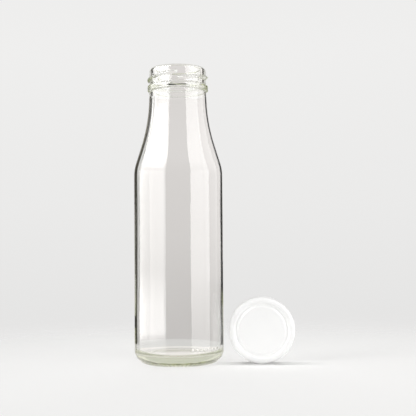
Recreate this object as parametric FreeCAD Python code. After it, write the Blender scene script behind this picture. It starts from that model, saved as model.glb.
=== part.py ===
import FreeCAD, Part
import math
import os

# Clear glass milk bottle with a lug finish, and its white lid standing on edge beside it.
# Millimetres, +Z up. The origin is on the bottle's axis, in the plane that it stands on.
# The lid's outer face looks along -Y, the side that the bottle is seen from.

V = FreeCAD.Vector

# ---------------------------------------------------------------- driving dimensions
# Bottle, outside
HEIGHT = 180.0
BODY_R = 27.1
HEEL_R = 8.2            # heel rounding, from the wall into the bearing ring
RING_IN_R = 16.4        # inner edge of the flat ring that the bottle stands on
PUSH_UP = 2.0           # rise of the underside at the axis
SHOULDER_Z = 113.3      # top of the straight wall
SHOULDER_ARC = 27.0     # convex rounding at the top of the wall
CONE_DEG = 17.2         # steepest lean of the shoulder from the vertical
NECK_R = 17.65
NECK_Z = 164.2          # where the sweep of the shoulder ends in the upright neck
NECK_ARC = 108.0        # hollow sweep from the shoulder to the neck

# Bottle, finish (38 mm lug finish)
RING_R = 18.6           # neck ring under the ramps
RING_LOW, RING_HIGH = 165.0, 169.1
ROOT_R = 17.45          # wall between the ramps
RAMP_R = 18.65          # over the ramps
RAMP_COUNT = 3
RAMP_SPAN_DEG = 124.0   # length of one ramp, its faded ends included
RAMP_LOW_Z, RAMP_HIGH_Z = 171.25, 175.15   # middle of a ramp at its two ends
RAMP_END_DEG = 2.0      # where the first ramp's high end is, from -Y towards +X
RAMP_FOOT, RAMP_CREST = 2.5, 0.9           # width of a ramp at the wall and at its crest
LIP_Z = 177.3           # where the lip starts to round over
LIP_CREST_R = 15.3      # radius of the highest line of the lip

# Bottle, inside
BORE_R = 14.5
BORE_LOW = 168.0        # where the pressed bore of the finish ends
STEP_LOW = 166.6        # where the blown neck begins, a little wider
WALL = 1.8              # mean wall of the neck, shoulder and body
INNER_HEEL_R = 3.2
FLOOR_EDGE_Z = 6.3      # inside floor at the inner heel
FLOOR_Z = 7.0           # inside floor at the axis

# Lid
SHEET = 0.20            # tinplate with its enamel
LID_R = 19.75           # middle of the sheet in the skirt
LID_TOP = 9.5           # middle of the sheet at the crown, above the plane of the curl
PANEL_R, PANEL_Z = 13.9, 9.15
GROOVE_IN_R, GROOVE_OUT_R, GROOVE_Z = 15.0, 15.9, 8.5
CROWN_IN_R = 16.8
CORNER_R = 1.75
CURL_R, CURL_IN_R, CURL_TOP = 0.35, 18.95, 1.5
LUG_COUNT = 3
LUG_IN_R, LUG_SPAN_DEG = 17.75, 26.0
LUG_LOW, LUG_HIGH = 0.10, 0.80
SEAL_IN_R, SEAL_OUT_R = 14.0, 18.75
SEAL_LOW = 7.6

# Lid beside the bottle
LID_X = 49.85
LID_FRONT_Y = -9.3      # outer face's crown
LID_YAW_DEG = -3.0      # turned a little towards the bottle's side of the viewer
LID_SPIN_DEG = 20.0     # turn of the lugs about the lid's own axis


# ---------------------------------------------------------------- helpers
def pt(r, z):
    """A point of a section, in the plane y = 0."""
    return V(r, 0.0, z)


def line(a, b):
    return Part.LineSegment(pt(*a), pt(*b)).toShape()


def arc(a, m, b):
    return Part.Arc(pt(*a), pt(*m), pt(*b)).toShape()


def arc_about(c, radius, deg0, deg1):
    """An arc about c from one angle to another, measured from +r towards +z."""
    p = []
    for d in (deg0, 0.5 * (deg0 + deg1), deg1):
        a = math.radians(d)
        p.append((c[0] + radius * math.cos(a), c[1] + radius * math.sin(a)))
    return arc(*p), p[0], p[2]


def turned(edges):
    """The solid that a closed section makes, turned about the axis."""
    face = Part.Face(Part.Wire(Part.__sortEdges__(edges)))
    solid = face.revolve(V(0, 0, 0), V(0, 0, 1), 360)
    if solid.ShapeType != "Solid":
        solid = solid.Solids[0]
    if solid.Volume < 0:
        solid.reverse()
    return solid


def rounded_path(points, radii):
    """Straight runs with tangent arcs at the corners: ('line', a, b) and ('arc', centre, r, deg0, deg1)."""
    segs, start = [], points[0]
    for i in range(1, len(points) - 1):
        p, q, s = points[i - 1], points[i], points[i + 1]
        u = (q[0] - p[0], q[1] - p[1])
        w = (s[0] - q[0], s[1] - q[1])
        lu, lw = math.hypot(*u), math.hypot(*w)
        u, w = (u[0] / lu, u[1] / lu), (w[0] / lw, w[1] / lw)
        turn = math.atan2(u[0] * w[1] - u[1] * w[0], u[0] * w[0] + u[1] * w[1])
        back = radii[i - 1] * math.tan(abs(turn) / 2)
        a = (q[0] - u[0] * back, q[1] - u[1] * back)
        b = (q[0] + w[0] * back, q[1] + w[1] * back)
        side = 1.0 if turn > 0 else -1.0
        c = (a[0] - u[1] * side * radii[i - 1], a[1] + u[0] * side * radii[i - 1])
        d0 = math.degrees(math.atan2(a[1] - c[1], a[0] - c[0]))
        segs.append(("line", start, a))
        segs.append(("arc", c, radii[i - 1], d0, d0 + math.degrees(turn)))
        start = b
    segs.append(("line", start, points[-1]))
    return segs


def beside(segs, d):
    """Edges of the path moved by d to its left, with its two end points."""
    edges, first, last = [], None, None
    for s in segs:
        if s[0] == "line":
            (ax, az), (bx, bz) = s[1], s[2]
            n = math.hypot(bx - ax, bz - az)
            ox, oz = -(bz - az) / n * d, (bx - ax) / n * d
            a, b = (ax + ox, az + oz), (bx + ox, bz + oz)
            edges.append(line(a, b))
        else:
            _, c, r, d0, d1 = s
            e, a, b = arc_about(c, r - d if d1 > d0 else r + d, d0, d1)
            edges.append(e)
        first = first or a
        last = b
    return edges, first, last


# ---------------------------------------------------------------- glass bottle
outside = []
ring_out_r = BODY_R - HEEL_R
push_edge = (RING_IN_R - 1.1, 0.62)
# Underside: a shallow dome, a short ramp down, and the flat ring.
dome_r = (push_edge[0] ** 2 + (PUSH_UP - push_edge[1]) ** 2) / (2 * (PUSH_UP - push_edge[1]))
half = 0.5 * math.asin(push_edge[0] / dome_r)
dome_mid = (dome_r * math.sin(half), PUSH_UP - dome_r * (1 - math.cos(half)))
outside.append(arc((0.0, PUSH_UP), dome_mid, push_edge))
outside.append(line(push_edge, (RING_IN_R, 0.0)))
outside.append(line((RING_IN_R, 0.0), (ring_out_r, 0.0)))
e, _, top = arc_about((ring_out_r, HEEL_R), HEEL_R, -90, 0)
outside.append(e)
outside.append(line(top, (BODY_R, SHOULDER_Z)))
e, _, cone_low = arc_about((BODY_R - SHOULDER_ARC, SHOULDER_Z), SHOULDER_ARC, 0, CONE_DEG)
outside.append(e)
e, cone_high, neck = arc_about((NECK_R + NECK_ARC, NECK_Z), NECK_ARC, 180 + CONE_DEG, 180)
outside.append(line(cone_low, cone_high))
outside.append(e)

# Neck ring, wall under the ramps and the lip.
ring = rounded_path(
    [
        neck,
        (NECK_R, RING_LOW),
        (RING_R, RING_LOW + 0.75),
        (RING_R, RING_HIGH - 0.45),
        (ROOT_R, RING_HIGH + 0.35),
        (ROOT_R, LIP_Z),
    ],
    [0.5, 0.7, 0.7, 0.6],
)
ring_edges, _, lip_start = beside(ring, 0.0)
outside += ring_edges
lip = Part.Ellipse(V(0, 0, 0), HEIGHT - LIP_Z, ROOT_R - LIP_CREST_R)
# The ellipse's long axis is upright in the section's plane.
lip_edge = Part.ArcOfEllipse(lip, -math.pi / 2, 0).toShape()
lip_edge.transformShape(
    FreeCAD.Matrix(
        0, -1, 0, LIP_CREST_R,
        0, 0, -1, 0,
        1, 0, 0, LIP_Z,
        0, 0, 0, 1,
    )
)
outside.append(lip_edge)
lip_in = LIP_CREST_R - BORE_R
e, _, bore_top = arc_about((LIP_CREST_R, HEIGHT - lip_in), lip_in, 90, 180)
inside = [e]
NECK_IN_R, WALL_R = NECK_R - WALL, BODY_R - WALL
step = rounded_path([bore_top, (BORE_R, BORE_LOW), (NECK_IN_R, STEP_LOW), (NECK_IN_R, NECK_Z)], [0.8, 0.8])
inside += beside(step, 0.0)[0]

# Below the step the inside follows the outside at the depth of the wall.
e, _, in_cone_high = arc_about((NECK_R + NECK_ARC, NECK_Z), NECK_ARC + WALL, 180, 180 + CONE_DEG)
inside.append(e)
e, in_cone_low, wall_top = arc_about((BODY_R - SHOULDER_ARC, SHOULDER_Z), SHOULDER_ARC - WALL, CONE_DEG, 0)
inside.append(line(in_cone_high, in_cone_low))
inside.append(e)
heel_c = (WALL_R - INNER_HEEL_R, FLOOR_EDGE_Z + INNER_HEEL_R)
inside.append(line(wall_top, (WALL_R, heel_c[1])))
e, _, floor_edge = arc_about(heel_c, INNER_HEEL_R, 0, -90)
inside.append(e)
rise = FLOOR_Z - FLOOR_EDGE_Z
floor_r = (floor_edge[0] ** 2 + rise ** 2) / (2 * rise)
half = 0.5 * math.asin(floor_edge[0] / floor_r)
floor_mid = (floor_r * math.sin(half), FLOOR_Z - floor_r * (1 - math.cos(half)))
inside.append(arc(floor_edge, floor_mid, (0.0, FLOOR_Z)))
axis_edge = line((0.0, FLOOR_Z), (0.0, PUSH_UP))

bottle = turned(outside + inside + [axis_edge])
bottle.rotate(V(0, 0, 0), V(0, 0, 1), 40.0)


def ramp(high_deg):
    """One ramp of the finish: a faded ridge that climbs to the right, seen from outside. Its high end is at high_deg from -Y towards +X."""
    sections = []
    steps = 15
    for i in range(steps + 1):
        f = i / steps
        deg = high_deg - RAMP_SPAN_DEG * (1 - f)
        z = RAMP_LOW_Z + (RAMP_HIGH_Z - RAMP_LOW_Z) * f
        fade = min(1.0, 0.12 + 5.5 * f, 0.12 + 7.0 * (1 - f))
        crest = ROOT_R + (RAMP_R - ROOT_R) * fade
        foot = RAMP_FOOT * (0.55 + 0.45 * fade)
        top_w = RAMP_CREST * (0.55 + 0.45 * fade)
        a = math.radians(deg)
        x, y = math.sin(a), -math.cos(a)
        prof = [
            (ROOT_R - 0.9, -0.5 * foot),
            (ROOT_R, -0.5 * foot),
            (crest, -0.5 * top_w),
            (crest, 0.5 * top_w),
            (ROOT_R, 0.5 * foot),
            (ROOT_R - 0.9, 0.5 * foot),
        ]
        pts = [V(x * r, y * r, z + dz) for r, dz in prof]
        sections.append(Part.makePolygon(pts + [pts[0]]))
    return Part.makeLoft(sections, True, False)


ramps = [ramp(RAMP_END_DEG + 360.0 / RAMP_COUNT * n) for n in range(RAMP_COUNT)]
bottle = bottle.fuse(ramps).removeSplitter()
if bottle.ShapeType != "Solid":
    bottle = bottle.Solids[0]

# ---------------------------------------------------------------- lid, in its own frame
path = rounded_path(
    [
        (0.0, PANEL_Z),
        (PANEL_R, PANEL_Z),
        (GROOVE_IN_R, GROOVE_Z),
        (GROOVE_OUT_R, GROOVE_Z),
        (CROWN_IN_R, LID_TOP),
        (LID_R, LID_TOP),
        (LID_R, 0.0),
        (CURL_IN_R, 0.0),
        (CURL_IN_R, CURL_TOP),
    ],
    [0.7, 0.7, 0.7, 0.8, CORNER_R, CURL_R, CURL_R],
)
out_edges, out0, out1 = beside(path, 0.5 * SHEET)
in_edges, in0, in1 = beside(path, -0.5 * SHEET)
shell = turned(out_edges + in_edges + [line(out0, in0), line(out1, in1)])

# Lugs: short lengths of the curl pressed inwards.
lugs = []
for n in range(LUG_COUNT):
    w = Part.Wire(
        [
            line((CURL_IN_R + 0.05, LUG_LOW), (LUG_IN_R + 0.25, LUG_LOW)),
            arc(
                (LUG_IN_R + 0.25, LUG_LOW),
                (LUG_IN_R, 0.5 * (LUG_LOW + LUG_HIGH)),
                (LUG_IN_R + 0.25, LUG_HIGH),
            ),
            line((LUG_IN_R + 0.25, LUG_HIGH), (CURL_IN_R + 0.05, LUG_HIGH)),
            line((CURL_IN_R + 0.05, LUG_HIGH), (CURL_IN_R + 0.05, LUG_LOW)),
        ]
    )
    lug = Part.Face(w).revolve(V(0, 0, 0), V(0, 0, 1), LUG_SPAN_DEG)
    if lug.ShapeType != "Solid":
        lug = lug.Solids[0]
    lug.rotate(V(0, 0, 0), V(0, 0, 1), 360.0 / LUG_COUNT * n - 0.5 * LUG_SPAN_DEG + 30.0)
    lugs.append(lug)
lid = shell.fuse(lugs).removeSplitter()
if lid.ShapeType != "Solid":
    lid = lid.Solids[0]

# Sealing ring, flowed into the channel behind the crown and bonded there.
blank = turned(
    [
        line((SEAL_IN_R, 9.6), (SEAL_IN_R, SEAL_LOW + 0.75)),
        line((SEAL_IN_R, SEAL_LOW + 0.75), (SEAL_IN_R + 0.55, SEAL_LOW + 0.15)),
        line((SEAL_IN_R + 0.55, SEAL_LOW + 0.15), (SEAL_OUT_R - 0.55, SEAL_LOW)),
        line((SEAL_OUT_R - 0.55, SEAL_LOW), (SEAL_OUT_R, SEAL_LOW + 0.45)),
        line((SEAL_OUT_R, SEAL_LOW + 0.45), (SEAL_OUT_R, 9.6)),
        line((SEAL_OUT_R, 9.6), (SEAL_IN_R, 9.6)),
    ]
)
seal = sorted(blank.cut(shell).Solids, key=lambda s: s.BoundBox.ZMin)[0]


def stood(shape):
    """The lid's pieces on edge beside the bottle: outer face towards -Y, skirt on the standing plane."""
    s = shape.copy()
    s.rotate(V(0, 0, 0), V(0, 0, 1), LID_SPIN_DEG)
    s.rotate(V(0, 0, 0), V(1, 0, 0), 90.0)
    s.translate(V(0, LID_TOP + 0.5 * SHEET, LID_R + 0.5 * SHEET))
    s.rotate(V(0, 0, 0), V(0, 0, 1), LID_YAW_DEG)
    s.translate(V(LID_X, LID_FRONT_Y, 0))
    return s


lid_shell = stood(lid)
lid_seal = stood(seal)

# ---------------------------------------------------------------- files
os.makedirs("parts", exist_ok=True)
for name, shape in (
    ("glass_bottle", bottle),
    ("lid_shell", lid_shell),
    ("lid_seal", lid_seal),
):
    box = shape.optimalBoundingBox(True, False)
    print(
        name,
        shape.ShapeType,
        "valid" if shape.isValid() else "NOT VALID",
        "solids", len(shape.Solids),
        "volume %.1f" % shape.Volume,
        "x %.2f %.2f y %.2f %.2f z %.2f %.2f"
        % (box.XMin, box.XMax, box.YMin, box.YMax, box.ZMin, box.ZMax),
    )
    shape.exportStep("parts/%s.step" % name)
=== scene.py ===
import math

import bmesh
import bpy
import numpy as np
from mathutils import Matrix, Vector


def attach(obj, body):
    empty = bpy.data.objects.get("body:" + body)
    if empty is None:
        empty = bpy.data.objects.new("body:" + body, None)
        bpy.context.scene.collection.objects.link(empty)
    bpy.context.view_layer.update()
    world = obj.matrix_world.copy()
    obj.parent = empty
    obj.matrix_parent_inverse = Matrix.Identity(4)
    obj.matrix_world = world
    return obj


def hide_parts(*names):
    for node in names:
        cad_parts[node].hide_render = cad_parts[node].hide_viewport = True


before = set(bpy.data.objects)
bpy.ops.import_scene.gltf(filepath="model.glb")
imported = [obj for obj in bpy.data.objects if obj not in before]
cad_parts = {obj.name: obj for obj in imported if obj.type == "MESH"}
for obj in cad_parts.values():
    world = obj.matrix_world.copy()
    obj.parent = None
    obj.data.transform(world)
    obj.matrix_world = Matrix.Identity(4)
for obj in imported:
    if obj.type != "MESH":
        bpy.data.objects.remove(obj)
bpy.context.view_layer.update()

# Clear glass milk bottle and its white lid. The numbers are millimetres until a mesh is made.
MM = 0.001

# ---------------------------------------------------------------- the bottle's dimensions
HEIGHT, BODY_R, HEEL_R = 180.0, 27.1, 8.2
RING_IN_R, PUSH_UP = 16.4, 2.0
SHOULDER_Z, SHOULDER_ARC, CONE_DEG = 113.3, 27.0, 17.2
NECK_R, NECK_Z, NECK_ARC = 17.65, 164.2, 108.0
RING_R, RING_LOW, RING_HIGH = 18.6, 165.0, 169.1
ROOT_R, RAMP_R = 17.45, 18.65
RAMP_COUNT, RAMP_SPAN, RAMP_END = 3, 124.0, 2.0
RAMP_LOW_Z, RAMP_HIGH_Z = 171.25, 175.15
RAMP_FOOT, RAMP_CREST = 2.5, 0.9
LIP_Z, LIP_CREST_R = 177.3, 15.3
BORE_R, BORE_LOW, STEP_LOW, WALL = 14.5, 168.0, 166.6, 1.8
INNER_HEEL_R, FLOOR_EDGE_Z, FLOOR_Z = 3.2, 6.3, 7.0

# ---------------------------------------------------------------- the lid's dimensions
SHEET, LID_R, LID_TOP = 0.20, 19.75, 9.5
PANEL_R, PANEL_Z = 13.9, 9.15
GROOVE_IN_R, GROOVE_OUT_R, GROOVE_Z = 15.0, 15.9, 8.5
CROWN_IN_R, CORNER_R = 16.8, 1.75
CURL_R, CURL_IN_R, CURL_TOP = 0.35, 18.95, 1.5
LUG_IN_R, LUG_SPAN = 17.75, 26.0
SEAL_IN_R, SEAL_OUT_R, SEAL_LOW = 14.0, 18.75, 7.6
LID_X, LID_FRONT_Y, LID_YAW, LID_SPIN = 49.85, -9.3, -3.0, 20.0


# ---------------------------------------------------------------- helpers for sections
def arc_pts(c, r, d0, d1, n):
    """n + 1 points of an arc about c, from one angle to another."""
    return [
        (
            c[0] + r * math.cos(math.radians(d0 + (d1 - d0) * i / n)),
            c[1] + r * math.sin(math.radians(d0 + (d1 - d0) * i / n)),
        )
        for i in range(n + 1)
    ]


def run_pts(a, b, n):
    return [(a[0] + (b[0] - a[0]) * i / n, a[1] + (b[1] - a[1]) * i / n) for i in range(n + 1)]


def rounded(points, radii, per_arc=10, offset=0.0):
    """A path of straight runs with tangent arcs at its corners, moved to its left by offset."""
    out, start = [], points[0]
    for i in range(1, len(points) - 1):
        p, q, s = points[i - 1], points[i], points[i + 1]
        u = np.array(q, float) - p
        w = np.array(s, float) - q
        u, w = u / np.hypot(*u), w / np.hypot(*w)
        turn = math.atan2(u[0] * w[1] - u[1] * w[0], u @ w)
        r = radii[i - 1]
        a = np.array(q) - u * r * math.tan(abs(turn) / 2)
        side = 1.0 if turn > 0 else -1.0
        c = a + np.array((-u[1], u[0])) * side * r
        d0 = math.degrees(math.atan2(a[1] - c[1], a[0] - c[0]))
        left = np.array((-u[1], u[0])) * offset
        out.append((tuple(np.array(start) + left), tuple(a + left)))
        out.append(arc_pts(c, r - side * offset, d0, d0 + math.degrees(turn), per_arc))
        start = tuple(np.array(q) + w * r * math.tan(abs(turn) / 2))
    left = np.array((-w[1], w[0])) * offset
    out.append((tuple(np.array(start) + left), tuple(np.array(points[-1]) + left)))
    return out


def smooth(x, a, b):
    t = np.clip((x - a) / (b - a), 0.0, 1.0)
    return t * t * (3 - 2 * t)


def lathe(name, rows, n, place, poles=(None, None), closed=False):
    """A mesh turned about the axis. rows are (m, r, z, kind) and have m * n points each; place(kind, r, z, phi) gives their places in millimetres."""
    verts, faces, rings = [], [], []

    def add(points):
        start = len(verts)
        verts.extend(map(tuple, points))
        return start

    for m, r, z, kind in rows:
        phi = np.arange(m * n) * (2 * math.pi / (m * n))
        rings.append((add(place(kind, np.full(m * n, float(r)), np.full(m * n, float(z)), phi)), m * n))

    def join(low, high):
        (a, na), (b, nb) = low, high
        if na == nb:
            for j in range(na):
                k = (j + 1) % na
                faces.append((a + j, a + k, b + k, b + j))
            return
        flip = na > nb
        if flip:
            (a, na), (b, nb) = (b, nb), (a, na)
        k = nb // na
        for j in range(na):
            j1 = (j + 1) % na
            f = [b + (k * j + i) % nb for i in range(k + 1)]
            if k == 2:
                new = [(a + j, f[1], f[0]), (a + j, a + j1, f[1]), (a + j1, f[2], f[1])]
            else:
                new = [(a + j, f[1], f[0]), (a + j, a + j1, f[2], f[1]), (a + j1, f[3], f[2])]
            faces.extend(tuple(reversed(x)) if flip else x for x in new)

    for low, high in zip(rings, rings[1:]):
        join(low, high)
    if closed:
        join(rings[-1], rings[0])
    for pole, (a, na), first in ((poles[0], rings[0], True), (poles[1], rings[-1], False)):
        if pole is None:
            continue
        p = add([pole])
        for j in range(na):
            k = (j + 1) % na
            faces.append((p, a + k, a + j) if first else (p, a + j, a + k))
    mesh = bpy.data.meshes.new(name)
    mesh.from_pydata([tuple(c * MM for c in v) for v in verts], [], faces)
    bm = bmesh.new()
    bm.from_mesh(mesh)
    bmesh.ops.recalc_face_normals(bm, faces=bm.faces)
    bm.to_mesh(mesh)
    bm.free()
    mesh.polygons.foreach_set("use_smooth", [True] * len(mesh.polygons))
    mesh.update()
    ob = bpy.data.objects.new(name, mesh)
    bpy.context.scene.collection.objects.link(ob)
    return ob


# ---------------------------------------------------------------- glass bottle
lean = math.radians(CONE_DEG)
N = 174
rows = []


def put(points, m, kind, skip_first=True):
    for r, z in points[1 if skip_first else 0 :]:
        rows.append((m, r, z, kind))


edge_r, edge_z = RING_IN_R - 1.1, 0.62
dome = (edge_r**2 + (PUSH_UP - edge_z) ** 2) / (2 * (PUSH_UP - edge_z))
put([(r, PUSH_UP - (dome - math.sqrt(dome * dome - r * r))) for r in np.linspace(0, edge_r - 0.35, 10)], 1, "under")
put(
    [(edge_r - 0.35, 0.68), (edge_r - 0.1, 0.62), (edge_r + 0.15, 0.52), (edge_r + 0.45, 0.34), (edge_r + 0.75, 0.17), (edge_r + 0.95, 0.07), (RING_IN_R, 0.02)],
    3,
    "under",
)
put(run_pts((RING_IN_R, 0.0), (BODY_R - HEEL_R, 0.0), 7), 3, "ring")
heel = arc_pts((BODY_R - HEEL_R, HEEL_R), HEEL_R, -90, 0, 24)
put(heel[:13], 3, "ring")
put(heel[12:], 3, "out")
put([(BODY_R, z) for z in (8.2, 8.75, 9.1, 9.4, 9.65, 9.9, 10.15, 10.4, 10.65, 10.9, 11.15, 11.4, 11.7, 12.1, 12.7, 13.5)], 3, "out")
put([(BODY_R, z) for z in np.linspace(13.5, SHOULDER_Z, 42)], 1, "out")
put(arc_pts((BODY_R - SHOULDER_ARC, SHOULDER_Z), SHOULDER_ARC, 0, CONE_DEG, 10), 1, "out")
sweep_out = arc_pts((NECK_R + NECK_ARC, NECK_Z), NECK_ARC, 180 + CONE_DEG, 180, 24)
put(run_pts(rows[-1][1:3], sweep_out[0], 6), 1, "out")
put(sweep_out[:-1], 1, "out")
ring_path = [p for part in rounded(
    [(NECK_R, NECK_Z - 1.5), (NECK_R, RING_LOW), (RING_R, RING_LOW + 0.75), (RING_R, RING_HIGH - 0.45), (ROOT_R, RING_HIGH + 0.35), (ROOT_R, LIP_Z)],
    [0.5, 0.7, 0.7, 0.6],
) for p in part]
ring_z, ring_r = np.array([p[1] for p in ring_path]), np.array([p[0] for p in ring_path])
order = np.argsort(ring_z, kind="stable")
ring_z, ring_r = ring_z[order], ring_r[order]


def finish_r(z):
    return np.interp(z, ring_z, ring_r)


z_finish = np.concatenate((np.linspace(163.4, 164.4, 4), np.linspace(164.6, 169.6, 26), np.linspace(169.8, 177.2, 44)))
put([(0, 0)] + [(float(finish_r(z)), float(z)) for z in z_finish], 2, "finish")
lip = [
    (LIP_CREST_R + (ROOT_R - LIP_CREST_R) * math.cos(t), LIP_Z + (HEIGHT - LIP_Z) * math.sin(t))
    for t in np.linspace(0, math.pi / 2, 15)
]
put([(0, 0)] + lip, 2, "lip")
lip_in = LIP_CREST_R - BORE_R
put(arc_pts((LIP_CREST_R, HEIGHT - lip_in), lip_in, 90, 180, 7), 2, "lip")
NECK_IN_R, WALL_R = NECK_R - WALL, BODY_R - WALL
for part in rounded([(BORE_R, HEIGHT - lip_in), (BORE_R, BORE_LOW), (NECK_IN_R, STEP_LOW), (NECK_IN_R, NECK_Z)], [0.8, 0.8], 8):
    put(run_pts(part[0], part[1], max(1, int((part[0][1] - part[1][1]) / 1.2))) if len(part) == 2 else part, 1, "in")
sweep_in = arc_pts((NECK_R + NECK_ARC, NECK_Z), NECK_ARC + WALL, 180, 180 + CONE_DEG, 24)
in_low = arc_pts((BODY_R - SHOULDER_ARC, SHOULDER_Z), SHOULDER_ARC - WALL, CONE_DEG, 0, 10)
put(sweep_in, 1, "in")
put(run_pts(sweep_in[-1], in_low[0], 6), 1, "in")
put(in_low, 1, "in")
heel_c = (WALL_R - INNER_HEEL_R, FLOOR_EDGE_Z + INNER_HEEL_R)
put(run_pts((WALL_R, SHOULDER_Z), (WALL_R, heel_c[1]), 40), 1, "in")
put(arc_pts(heel_c, INNER_HEEL_R, 0, -90, 16), 1, "in")
rise = FLOOR_Z - FLOOR_EDGE_Z
floor_r = (heel_c[0] ** 2 + rise**2) / (2 * rise)
put([(r, FLOOR_Z - (floor_r - math.sqrt(floor_r**2 - r * r))) for r in np.linspace(heel_c[0], 0.9, 11)], 1, "in")

# Plain raised dots low on the wall, and the bars that the base ring stands on.
DOTS = [(math.radians(d), 10.3) for d in (18.5, 25.0, 31.0, 37.5, 44.0, 51.0, 58.5)]
BARS = 56


def ramp_height(z, phi):
    """How far the ramps of the finish stand out of the wall, from 0 to 1."""
    out = np.zeros_like(phi)
    deg = np.degrees(phi)
    for k in range(RAMP_COUNT):
        high = RAMP_END + 360.0 / RAMP_COUNT * k
        f = 1 - np.mod(high - deg, 360.0) / RAMP_SPAN
        ok = f >= 0
        mid = RAMP_LOW_Z + (RAMP_HIGH_Z - RAMP_LOW_Z) * f
        fade = smooth(f, 0.0, 0.12) * (1 - smooth(f, 0.95, 1.0))
        d = np.abs(z - mid)
        bump = 1 - smooth(d, 0.1, 0.5 * RAMP_FOOT + 0.1)
        out = np.maximum(out, np.where(ok, bump * fade, 0.0))
    return out


def place_glass(kind, r, z, phi):
    r, z = r.copy(), z.copy()
    dx = np.zeros_like(r)
    if kind == "ring":
        turn = np.where(r > BODY_R - HEEL_R, np.arctan2(z - HEEL_R, r - (BODY_R - HEEL_R)), -0.5 * math.pi)
        along = np.minimum(r, BODY_R - HEEL_R) - RING_IN_R + HEEL_R * (turn + 0.5 * math.pi)
        bar = 0.5 + 0.5 * np.cos(BARS * phi + 0.4 * np.sin(3 * phi))
        depth = 0.38 * (1 - smooth(bar, 0.15, 0.8)) * smooth(along, 0.4, 1.6) * (1 - smooth(along, 7.2, 8.8))
        r, z = r - depth * np.cos(turn), z - depth * np.sin(turn)
    if kind in ("out", "finish"):
        if kind == "finish":
            r += (RAMP_R - ROOT_R) * ramp_height(z, phi)
        body = smooth(z, 3, 14) * (1 - smooth(z, 150, 164))
        r += body * (
            -0.035
            + 0.016 * np.sin(3 * phi + 0.7 + z / 31)
            + 0.012 * np.sin(5 * phi - 1.1 - z / 23)
            + 0.008 * np.sin(9 * phi + 2.0 + z / 15)
        )
        for a, h in DOTS:
            turn = np.mod(phi - a + math.pi, 2 * math.pi) - math.pi
            d2 = (turn * BODY_R) ** 2 + (z - h) ** 2
            r += 0.30 * np.exp(-d2 / (2 * 0.36**2))
    if kind == "in":
        wall = smooth(z, 8, 22) * (1 - smooth(z, 165.8, 168.4))
        r += wall * (
            0.030 * np.sin(2 * phi + 1.0 + z / 60)
            + 0.022 * np.sin(3 * phi - 0.6 - z / 41)
            + 0.014 * np.sin(5 * phi + 0.9 + z / 29)
            + 0.006 * np.sin(9 * phi + 2.1 - z / 22)
            + 0.020 * np.sin(z / 8.5 + 1.3 * np.sin(2 * phi))
        )
        dx = (0.41 * smooth(z, 24, 52) - 0.12 * (1 - smooth(z, 24, 52))) * wall
        floor = 1 - smooth(r, 14, 22)
        z = z + (z < 14) * floor * (0.10 * np.sin(2 * phi + 0.5) * (r / 15) ** 2 + 0.06 * np.sin(3 * phi + r / 4) * (r / 15) ** 2)
    return np.stack((r * np.sin(phi) + dx, -r * np.cos(phi), z), axis=1)


glass = lathe("bottle_glass", rows, N, place_glass, poles=((0, 0, PUSH_UP), (0, 0, FLOOR_Z)))

# ---------------------------------------------------------------- lid
LID_PATH = [
    (0.0, PANEL_Z), (PANEL_R, PANEL_Z), (GROOVE_IN_R, GROOVE_Z), (GROOVE_OUT_R, GROOVE_Z), (CROWN_IN_R, LID_TOP),
    (LID_R, LID_TOP), (LID_R, 0.0), (CURL_IN_R, 0.0), (CURL_IN_R, CURL_TOP),
]
LID_RADII = [0.7, 0.7, 0.7, 0.8, CORNER_R, CURL_R, CURL_R]
LID_AT = (
    Matrix.Translation((LID_X, LID_FRONT_Y, 0))
    @ Matrix.Rotation(math.radians(LID_YAW), 4, "Z")
    @ Matrix.Translation((0, LID_TOP + 0.5 * SHEET, LID_R + 0.5 * SHEET))
    @ Matrix.Rotation(math.radians(90), 4, "X")
    @ Matrix.Rotation(math.radians(LID_SPIN), 4, "Z")
)
LID_M = np.array(LID_AT)


def lid_side(offset):
    """One face of the lid's sheet as section points, with enough of them along its straight runs."""
    pts = []
    for part in rounded(LID_PATH, LID_RADII, 8, offset):
        if len(part) == 2:
            n = max(1, int(math.hypot(part[1][0] - part[0][0], part[1][1] - part[0][1]) / 1.1))
            part = run_pts(part[0], part[1], n)
        for p in part:
            if not pts or math.hypot(p[0] - pts[-1][0], p[1] - pts[-1][1]) > 1e-4:
                pts.append(p)
    return pts


lid_out, lid_in = lid_side(0.5 * SHEET), lid_side(-0.5 * SHEET)
rim = arc_pts((CURL_IN_R, CURL_TOP), 0.5 * SHEET, 180, 0, 6)[1:-1]
lid_rows = [(1, r, z, "shell") for r, z in lid_out[1:] + rim + lid_in[:0:-1]]


def place_lid(kind, r, z, phi):
    r, z = r * 0.9998, z.copy()
    if kind == "shell":
        deg = np.degrees(phi)
        near = np.abs(np.mod(deg - 30 + 60, 120.0) - 60)
        lug = 1 - smooth(near, 0.5 * LUG_SPAN - 4, 0.5 * LUG_SPAN + 1)
        inward = np.clip((19.55 - r) / (19.55 - CURL_IN_R), 0, 1) * (r > 17) * (z < 2)
        r -= (CURL_IN_R - LUG_IN_R - 0.1) * lug * inward * (1 - smooth(z, 0.75, 1.5))
        # A pressed panel is never quite flat.
        face = (z > 8.2) * (1 - smooth(r, 11, 14))
        z += face * (-0.03 + 0.02 * np.cos(2 * phi + 0.4) * (r / 14) ** 2)
    else:
        z += 0.05 * np.sin(3 * phi + 0.6) * (z < 8.2) + 0.03 * np.sin(7 * phi) * (z < 8.2)
    p = np.stack((r * np.cos(phi), r * np.sin(phi), z, np.ones_like(r)), axis=1)
    return (p @ LID_M.T)[:, :3]


def lid_pole(z):
    return tuple((LID_M @ np.array((0, 0, z, 1.0)))[:3])


lid = lathe("lid_enamelled_shell", lid_rows, 216, place_lid, poles=(lid_pole(PANEL_Z + 0.5 * SHEET - 0.03), lid_pole(PANEL_Z - 0.5 * SHEET - 0.03)))

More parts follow.
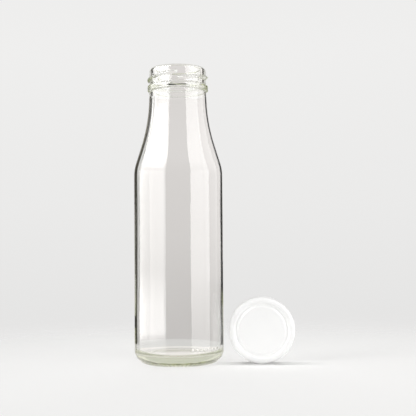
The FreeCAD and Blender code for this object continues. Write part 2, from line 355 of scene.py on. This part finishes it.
inner = sorted((r, z) for r, z in lid_in if z > 5 and r < LID_R - 0.5 * SHEET - 0.05)
in_r, in_z = np.array([p[0] for p in inner]), np.array([p[1] for p in inner])
seal_low = [p for part in rounded(
    [(SEAL_IN_R, 8.9), (SEAL_IN_R, SEAL_LOW + 0.55), (SEAL_IN_R + 0.75, SEAL_LOW + 0.12), (SEAL_OUT_R - 0.6, SEAL_LOW + 0.05), (SEAL_OUT_R, SEAL_LOW + 0.5), (SEAL_OUT_R, 9.1)],
    [0.3, 0.4, 0.4, 0.3],
    6,
) for p in part]
seal_top = [(r, float(np.interp(r, in_r, in_z)) - 0.02) for r in np.linspace(SEAL_OUT_R - 0.02, SEAL_IN_R + 0.02, 30)]
seal_rows = []
for p in seal_low[:-1] + seal_top:
    if not seal_rows or math.hypot(p[0] - seal_rows[-1][1], p[1] - seal_rows[-1][2]) > 1e-3:
        seal_rows.append((1, p[0], p[1], "seal"))
seal_rows[0] = (1, SEAL_IN_R, float(np.interp(SEAL_IN_R, in_r, in_z)) - 0.12, "seal")
seal = lathe("lid_sealing_ring", seal_rows, 144, place_lid, closed=True)

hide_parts("glass_bottle")
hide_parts("lid_shell")
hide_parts("lid_seal")
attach(glass, "bottle")
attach(lid, "lid")
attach(seal, "lid")


# ---------------------------------------------------------------- materials
def material(name):
    m = bpy.data.materials.new(name)
    m.use_nodes = True
    m.node_tree.nodes.clear()
    out = m.node_tree.nodes.new("ShaderNodeOutputMaterial")
    p = m.node_tree.nodes.new("ShaderNodeBsdfPrincipled")
    m.node_tree.links.new(p.outputs["BSDF"], out.inputs["Surface"])
    return m, m.node_tree.nodes, m.node_tree.links, p, out


def noise(nodes, links, scale, detail=2.0, rough=0.5, stretch=(1, 1, 1), distortion=0.0):
    c = nodes.new("ShaderNodeTexCoord")
    mp = nodes.new("ShaderNodeMapping")
    mp.inputs["Scale"].default_value = stretch
    n = nodes.new("ShaderNodeTexNoise")
    n.inputs["Scale"].default_value = scale
    n.inputs["Detail"].default_value = detail
    n.inputs["Roughness"].default_value = rough
    n.inputs["Distortion"].default_value = distortion
    links.new(c.outputs["Object"], mp.inputs["Vector"])
    links.new(mp.outputs["Vector"], n.inputs["Vector"])
    return n


def ranged(nodes, links, source, a, b, lo, hi):
    m = nodes.new("ShaderNodeMapRange")
    m.inputs["From Min"].default_value = a
    m.inputs["From Max"].default_value = b
    m.inputs["To Min"].default_value = lo
    m.inputs["To Max"].default_value = hi
    links.new(source, m.inputs["Value"])
    return m.outputs["Result"]


def bump(nodes, links, source, distance, strength=1.0):
    b = nodes.new("ShaderNodeBump")
    b.inputs["Distance"].default_value = distance
    b.inputs["Strength"].default_value = strength
    links.new(source, b.inputs["Height"])
    return b.outputs["Normal"]


# Clear glass: fire-polished, with faint ripples and a little green where it is thick.
m_glass, nodes, links, p, out = material("clear_glass")
p.inputs["Base Color"].default_value = (1, 1, 1, 1)
p.inputs["Transmission Weight"].default_value = 1.0
p.inputs["IOR"].default_value = 1.52
smear = noise(nodes, links, 60, 3, 0.6, (1, 1, 0.35), 0.4)
links.new(ranged(nodes, links, smear.outputs["Fac"], 0.45, 0.75, 0.0, 0.02), p.inputs["Roughness"])
ripple = noise(nodes, links, 90, 2, 0.5, (1, 1, 0.4))
links.new(bump(nodes, links, ripple.outputs["Fac"], 0.00003, 0.6), p.inputs["Normal"])
tint = nodes.new("ShaderNodeVolumeAbsorption")
tint.inputs["Color"].default_value = (0.70, 0.755, 0.36, 1)
tint.inputs["Density"].default_value = 10.0
links.new(tint.outputs["Volume"], out.inputs["Volume"])
glass.data.materials.append(m_glass)
glass.visible_shadow = False

# White enamel on tinplate: semi-gloss, with a fine orange peel.
m_lid, nodes, links, p, out = material("white_enamel")
cloud = noise(nodes, links, 45, 3, 0.55)
mix = nodes.new("ShaderNodeMix")
mix.data_type = "RGBA"
mix.inputs[6].default_value = (0.900, 0.900, 0.895, 1)
mix.inputs[7].default_value = (0.930, 0.930, 0.925, 1)
links.new(cloud.outputs["Fac"], mix.inputs[0])
links.new(mix.outputs[2], p.inputs["Base Color"])
links.new(ranged(nodes, links, cloud.outputs["Fac"], 0.3, 0.7, 0.30, 0.42), p.inputs["Roughness"])
peel = noise(nodes, links, 1400, 2, 0.5)
links.new(bump(nodes, links, peel.outputs["Fac"], 0.00002, 0.5), p.inputs["Normal"])
p.inputs["IOR"].default_value = 1.5
lid.data.materials.append(m_lid)

# Sealing compound: off-white, smooth and slightly waxy.
m_seal, nodes, links, p, out = material("seal_compound")
cloud = noise(nodes, links, 160, 3, 0.6)
mix = nodes.new("ShaderNodeMix")
mix.data_type = "RGBA"
mix.inputs[6].default_value = (0.74, 0.73, 0.68, 1)
mix.inputs[7].default_value = (0.82, 0.81, 0.77, 1)
links.new(cloud.outputs["Fac"], mix.inputs[0])
links.new(mix.outputs[2], p.inputs["Base Color"])
links.new(ranged(nodes, links, cloud.outputs["Fac"], 0.3, 0.7, 0.42, 0.58), p.inputs["Roughness"])
links.new(bump(nodes, links, cloud.outputs["Fac"], 0.00008, 0.5), p.inputs["Normal"])
seal.data.materials.append(m_seal)

# ---------------------------------------------------------------- stage
scene = bpy.context.scene
scene.view_settings.view_transform = "Standard"
scene.view_settings.look = "None"
scene.cycles.use_denoising = True
scene.cycles.max_bounces = 64
scene.cycles.transmission_bounces = 48
scene.cycles.glossy_bounces = 48
scene.cycles.caustics_reflective = True
scene.cycles.caustics_refractive = True
scene.cycles.sample_clamp_indirect = 0.0

world = bpy.data.worlds.new("studio")
scene.world = world
world.use_nodes = True
wn, wl = world.node_tree.nodes, world.node_tree.links
wn.clear()
w_out = wn.new("ShaderNodeOutputWorld")
w_bg = wn.new("ShaderNodeBackground")
w_bg.inputs["Color"].default_value = (1.0, 0.997, 0.99, 1)
w_bg.inputs["Strength"].default_value = 0.30
wl.new(w_bg.outputs["Background"], w_out.inputs["Surface"])


def new_object(name, bm):
    me = bpy.data.meshes.new(name)
    bm.to_mesh(me)
    bm.free()
    ob = bpy.data.objects.new(name, me)
    scene.collection.objects.link(ob)
    return ob


def shows_to(ob, camera=False, diffuse=False, glass=False, shadow=False):
    ob.visible_camera = camera
    ob.visible_diffuse = diffuse
    ob.visible_glossy = glass
    ob.visible_transmission = glass
    ob.visible_shadow = shadow
    ob.visible_volume_scatter = False


def glow(name):
    """A material that only glows, and its emission node."""
    mat = bpy.data.materials.new(name)
    mat.use_nodes = True
    mat.cycles.emission_sampling = "NONE"
    nodes, links = mat.node_tree.nodes, mat.node_tree.links
    nodes.clear()
    out = nodes.new("ShaderNodeOutputMaterial")
    e = nodes.new("ShaderNodeEmission")
    links.new(e.outputs["Emission"], out.inputs["Surface"])
    return mat, nodes, links, e


def height_ramp(nodes, links, low, high, stops):
    """A colour ramp over the object's own height, in metres. stops are (height, tone or colour)."""
    co = nodes.new("ShaderNodeTexCoord")
    sep = nodes.new("ShaderNodeSeparateXYZ")
    mr = nodes.new("ShaderNodeMapRange")
    ramp = nodes.new("ShaderNodeValToRGB")
    mr.inputs["From Min"].default_value = low
    mr.inputs["From Max"].default_value = high
    links.new(co.outputs["Object"], sep.inputs["Vector"])
    links.new(sep.outputs["Z"], mr.inputs["Value"])
    links.new(mr.outputs["Result"], ramp.inputs["Fac"])
    els = ramp.color_ramp.elements
    for i, (h, c) in enumerate(stops):
        c = (c * 1.004, c, c * 0.992) if isinstance(c, (int, float)) else c
        e = els[i] if i < 2 else els.new(1.0)
        e.position = (h - low) / (high - low)
        e.color = (*c, 1)
    return ramp.outputs["Color"]


# Backdrop: a pale dome, as the camera sees it, a little lighter at the top.
bm = bmesh.new()
bmesh.ops.create_uvsphere(bm, u_segments=64, v_segments=48, radius=8.0)
dome = new_object("backdrop", bm)
mat, nodes, links, e = glow("backdrop_pale")
links.new(height_ramp(nodes, links, -8.0, 8.0, [(-8.0, 0.80), (8.0, 0.80), (-2.6, 0.80), (-0.67, 0.785), (0.41, 0.825), (1.97, 0.86), (3.9, 0.84)]), e.inputs["Color"])
dome.data.materials.append(mat)
shows_to(dome, camera=True)

# Floor: a pale disc that fades into the backdrop.
bm = bmesh.new()
bmesh.ops.create_circle(bm, cap_ends=True, cap_tris=False, segments=96, radius=2.0)
floor = new_object("floor", bm)
floor.location = (0.03, -0.12, 0)
m_floor, nodes, links, p, out = material("floor_pale")
p.inputs["Base Color"].default_value = (0.80, 0.797, 0.790, 1)
p.inputs["Roughness"].default_value = 0.9
p.inputs["Specular IOR Level"].default_value = 0.0
co = nodes.new("ShaderNodeTexCoord")
ln = nodes.new("ShaderNodeVectorMath")
ln.operation = "LENGTH"
links.new(co.outputs["Object"], ln.inputs[0])
clear = nodes.new("ShaderNodeBsdfTransparent")
fade = nodes.new("ShaderNodeMixShader")
fade_by = nodes.new("ShaderNodeMapRange")
fade_by.interpolation_type = "SMOOTHSTEP"
fade_by.inputs["From Min"].default_value = 0.08
fade_by.inputs["From Max"].default_value = 0.42
links.new(ln.outputs["Value"], fade_by.inputs["Value"])
links.new(fade_by.outputs["Result"], fade.inputs["Fac"])
links.new(p.outputs["BSDF"], fade.inputs[1])
links.new(clear.outputs["BSDF"], fade.inputs[2])
links.new(fade.outputs["Shader"], out.inputs["Surface"])
floor.data.materials.append(m_floor)
shows_to(floor, camera=True, diffuse=True, shadow=True)


def softbox(name, at, target, width, height, radiance, colour=(1, 1, 1)):
    """A flat even light of that radiance for the matt surfaces."""
    d = bpy.data.lights.new(name, "AREA")
    d.shape = "RECTANGLE"
    d.size, d.size_y = width, height
    d.energy = radiance * math.pi * width * height
    d.color = colour
    ob = bpy.data.objects.new(name, d)
    ob.location = at
    ob.rotation_euler = (Vector(target) - Vector(at)).to_track_quat("-Z", "Y").to_euler()
    ob.visible_camera = False
    ob.visible_glossy = False
    ob.visible_transmission = False
    scene.collection.objects.link(ob)
    return ob


softbox("light_front", (0.35, -1.3, 0.5), (0.05, 0.0, 0.03), 0.8, 0.8, 0.9)
softbox("light_left", (-1.1, -0.6, 0.30), (0.05, 0.0, 0.03), 0.6, 0.6, 6.7)
softbox("light_right", (1.2, -0.5, 0.30), (0.05, 0.0, 0.03), 0.6, 0.6, 7.6)
# A strip light from above, for the floor only, gives the thin shadow under the lid; the lid has a soft one of its own.
light_top = softbox("light_top", (0.03, 0.13, 1.0), (0.03, 0.13, 0.0), 1.6, 0.06, 26.0)
light_top.rotation_euler = (0, 0, 0)
light_over = softbox("light_over", (0.05, -0.15, 1.0), (0.05, 0.0, 0.0), 0.5, 0.5, 3.6)
for light, names in ((light_top, (floor,)), (light_over, (lid, seal))):
    group = bpy.data.collections.new(light.name + "_lights")
    for ob in names:
        group.objects.link(ob)
    light.light_linking.receiver_collection = group

# Panels round the glass: what it reflects and bends into view. Bearings run from +Y towards -X.
PANEL_AT = 1.5


def panel(name, turn0, turn1, stops, low=-0.27, high=1.7, tint=(1.0, 1.0, 1.0), at=PANEL_AT, through=True, mirrored=True):
    """through and mirrored say whether it shows through the glass and in its outer face."""
    n = max(4, int(abs(turn1 - turn0) / 2))
    bm = bmesh.new()
    last = None
    for i in range(n + 1):
        a = math.radians(turn0 + (turn1 - turn0) * i / n)
        x, y = -at * math.sin(a), at * math.cos(a)
        now = bm.verts.new((x, y, low)), bm.verts.new((x, y, high))
        if last:
            bm.faces.new((last[0], now[0], now[1], last[1]))
        last = now
    ob = new_object(name, bm)
    mat, nodes, links, e = glow(name)
    links.new(height_ramp(nodes, links, low, high, [(h, tuple(v * t for t in tint)) for h, v in stops]), e.inputs["Color"])
    ob.data.materials.append(mat)
    shows_to(ob, glass=True)
    ob.visible_transmission, ob.visible_glossy = through, mirrored
    return ob


WARM = (1.010, 1.0, 0.985)
ROSY = (1.035, 0.995, 0.980)
BROWN = (1.06, 1.0, 0.82)
panel("panel_back", -16, 20, [(-0.27, 0.72), (1.7, 0.80), (-0.205, 0.53), (-0.118, 0.55), (0.078, 0.635), (0.274, 0.68), (0.412, 0.73)], tint=ROSY)
panel("panel_left_dark", 20, 46, [(-0.27, 0.75), (1.7, 0.85), (-0.210, 0.70), (-0.186, 0.05), (0.349, 0.05), (0.424, 0.80)], tint=BROWN, through=False)
panel("panel_left_pale", 46, 62, [(-0.27, 0.76), (1.7, 0.90)], tint=WARM)
panel("panel_right_pale", -60, -36, [(-0.27, 0.74), (1.7, 1.0), (-0.21, 0.48), (-0.12, 0.55), (0.075, 0.85), (0.37, 0.95)], tint=ROSY)
panel("panel_right_dark", -36, -16, [(-0.27, 0.75), (1.7, 0.85), (-0.187, 0.70), (-0.164, 0.03), (0.349, 0.03), (0.424, 0.80)], through=False)
panel("panel_left_fill", 20, 46, [(-0.27, 0.78), (1.7, 0.82)], tint=WARM, mirrored=False)
panel("panel_right_fill", -36, -16, [(-0.27, 0.78), (1.7, 0.82)], tint=WARM, mirrored=False)
panel("panel_round", 62, 300, [(-0.27, 0.79), (1.7, 0.82)], tint=WARM, mirrored=False)
panel("panel_left_soft", 62, 104, [(-0.27, 0.9), (1.7, 9.0), (-0.172, 1.3), (-0.150, 7.4), (-0.085, 6.8), (0.000, 3.8), (0.170, 4.7), (0.360, 7.0), (0.430, 5.0), (0.540, 5.0), (0.620, 7.0), (0.800, 8.0)], tint=WARM, through=False)
panel("panel_left_light", 104, 144.5, [(-0.27, 0.9), (1.7, 15.0), (-0.172, 1.8), (-0.150, 9.5), (-0.085, 8.5), (0.000, 5.4), (0.360, 7.6), (0.430, 6.0), (0.540, 6.0), (0.620, 8.5), (0.800, 12.0)], tint=WARM, through=False)
panel("panel_left_edge", 144.5, 149, [(-0.27, 0.8), (1.7, 8.0), (-0.172, 1.0), (-0.150, 5.0), (-0.085, 4.5), (0.000, 3.6), (0.360, 5.0), (0.430, 3.5), (0.540, 3.5), (0.620, 5.0), (0.800, 6.5)], tint=WARM, through=False)
panel("panel_front_dark", 149, 213, [(-0.27, 0.55), (1.7, 0.70), (-0.215, 0.05), (0.458, 0.05), (0.539, 0.50)], through=False)
panel("panel_right_light", -147, -93, [(-0.27, 0.8), (1.7, 7.0), (-0.150, 3.2), (-0.085, 4.3), (0.000, 5.4), (0.101, 5.5), (0.360, 6.6), (0.430, 5.4), (0.540, 5.2), (0.620, 5.8), (0.800, 5.6)], tint=WARM, through=False)
panel("panel_right_soft", -93, -60, [(-0.27, 0.75), (1.7, 3.8), (-0.21, 0.50), (-0.12, 0.55), (0.000, 1.5), (0.170, 2.0), (0.37, 2.4), (0.75, 3.2)], tint=ROSY, through=False)
panel("panel_low", -62, 72, [(-0.006, 0.72), (0.009, 0.64)], low=-0.006, high=0.009, tint=WARM, at=0.042)
panel("panel_high", -10.3, 12, [(0.168, 0.72), (0.215, 0.70)], low=0.168, high=0.215, tint=ROSY, at=0.042)
panel("panel_high_left_pale", 12, 50, [(0.168, 0.82), (0.215, 0.82)], low=0.168, high=0.215, tint=WARM, at=0.042)
panel("panel_high_right_pale", -46, -10.3, [(0.168, 0.82), (0.215, 0.78)], low=0.168, high=0.215, tint=WARM, at=0.042)
panel("panel_high_left", 50, 74, [(0.168, 0.06), (0.200, 0.06)], low=0.168, high=0.200, tint=BROWN, at=0.042)
panel("panel_high_right", -66, -46, [(0.168, 0.06), (0.200, 0.06)], low=0.168, high=0.200, tint=BROWN, at=0.042)
# A pale card behind, which only the matt surfaces see.
shows_to(panel("panel_behind", -35, 35, [(0.02, 0.9), (1.4, 0.9)], low=0.02, high=1.4, at=1.6), diffuse=True)


def level_card(name, r_out, height, tone, tint=(1.0, 1.0, 1.0), r_in=0.0002, turn0=0.0, turn1=360.0, mirrored=True):
    """A level disc or part of one; mirrored says whether it shows in the glass's outer face."""
    bm = bmesh.new()
    turns = [math.radians(turn0 + (turn1 - turn0) * i / 96) for i in range(97)]
    inner_rim, outer_rim = ([bm.verts.new((-r * math.sin(t), r * math.cos(t), 0)) for t in turns] for r in (r_in, r_out))
    for i in range(96):
        bm.faces.new((inner_rim[i], outer_rim[i], outer_rim[i + 1], inner_rim[i + 1]))
    card = new_object(name, bm)
    card.location = (0, 0, height)
    mat, nodes, links, e = glow(name)
    e.inputs["Color"].default_value = (tone * tint[0], tone * tint[1], tone * tint[2], 1)
    card.data.materials.append(mat)
    shows_to(card, glass=True)
    card.visible_glossy = mirrored


level_card("panel_below", PANEL_AT, -0.27, 0.79, WARM)
level_card("panel_above", PANEL_AT, 1.7, 0.90, WARM)
level_card("panel_under", 0.05, -0.006, 0.92, ROSY)
# Narrow dark strips that follow the outline, just behind it: the wall's edges bend them into view. From the side they are edge-on.
OUTLINE = [(9, 27.1), (113, 27.1), (121.3, 25.9), (132.3, 22.5), (140, 20.4), (150, 18.6), (160, 17.75), (164.5, 17.65)]
for name, side, near, far, tone, tint in (("strip_left", -1, 1.0, 12.0, 0.05, BROWN), ("strip_right", 1, 2.0, 9.0, 0.03, (1.0, 1.0, 1.0))):
    bm = bmesh.new()
    pairs = [[bm.verts.new((side * (r + out) * MM, 8 * MM, z * MM)) for out in (near, far)] for z, r in OUTLINE]
    for low, high in zip(pairs, pairs[1:]):
        bm.faces.new((low[0], low[1], high[1], high[0]))
    strip = new_object(name, bm)
    mat, nodes, links, e = glow(name)
    e.inputs["Color"].default_value = (tone * tint[0], tone * tint[1], tone * tint[2], 1)
    strip.data.materials.append(mat)
    shows_to(strip, glass=True)
    strip.visible_glossy = False
# A dark card overhead that the neck ring bends into view.
level_card("panel_above_dark", 0.75, 1.69, 0.05, mirrored=False)

# ---------------------------------------------------------------- camera
F_PX = 816.2
cam_data = bpy.data.cameras.new("camera")
cam_data.sensor_width = 36.0
cam_data.sensor_fit = "HORIZONTAL"
cam_data.lens = 36.0 * F_PX / 416.0
cam = bpy.data.objects.new("camera", cam_data)
cam.matrix_world = (
    Matrix.Translation((0.0181, -0.500, 0.0750))
    @ Matrix.Rotation(math.radians(92.16), 4, "X")
    @ Matrix.Rotation(math.radians(-0.42), 4, "Z")
)
scene.collection.objects.link(cam)
scene.camera = cam
